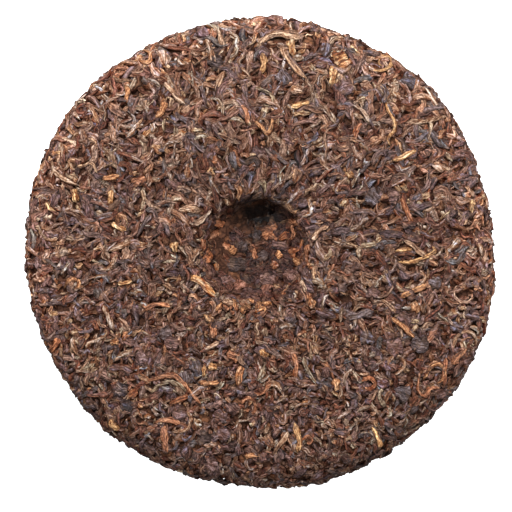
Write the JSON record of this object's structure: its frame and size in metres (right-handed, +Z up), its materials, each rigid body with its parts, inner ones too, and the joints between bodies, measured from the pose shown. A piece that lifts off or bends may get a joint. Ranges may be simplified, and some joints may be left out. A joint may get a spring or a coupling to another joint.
{
  "type": "pu erh tea cake",
  "caption": "Round pressed cake of dried tea leaves with low domed faces, a rounded rim and a blind dimple in the back, its surface rough with fused twisted leaves.",
  "frame": {"origin": "middle of the flat spot on the domed front, which the cake rests on", "axes": "+Z up through the dimpled back, +Y towards the top of the picture, +X to its right"},
  "size_m": [0.1959, 0.1969, 0.0256],
  "materials": {
    "pressed_leaf": "dry pressed tea leaf, dark brown, matt with a faint sheen",
    "dark_leaf": "twisted black-brown leaf with a faint sheen",
    "brown_leaf": "twisted red-brown leaf, matt",
    "tan_leaf": "tan and golden leaf tips and stems, matt and slightly downy"
  },
  "bodies": {
    "root": {"tea_cake": "pressed_leaf"}
  },
  "joints": []
}
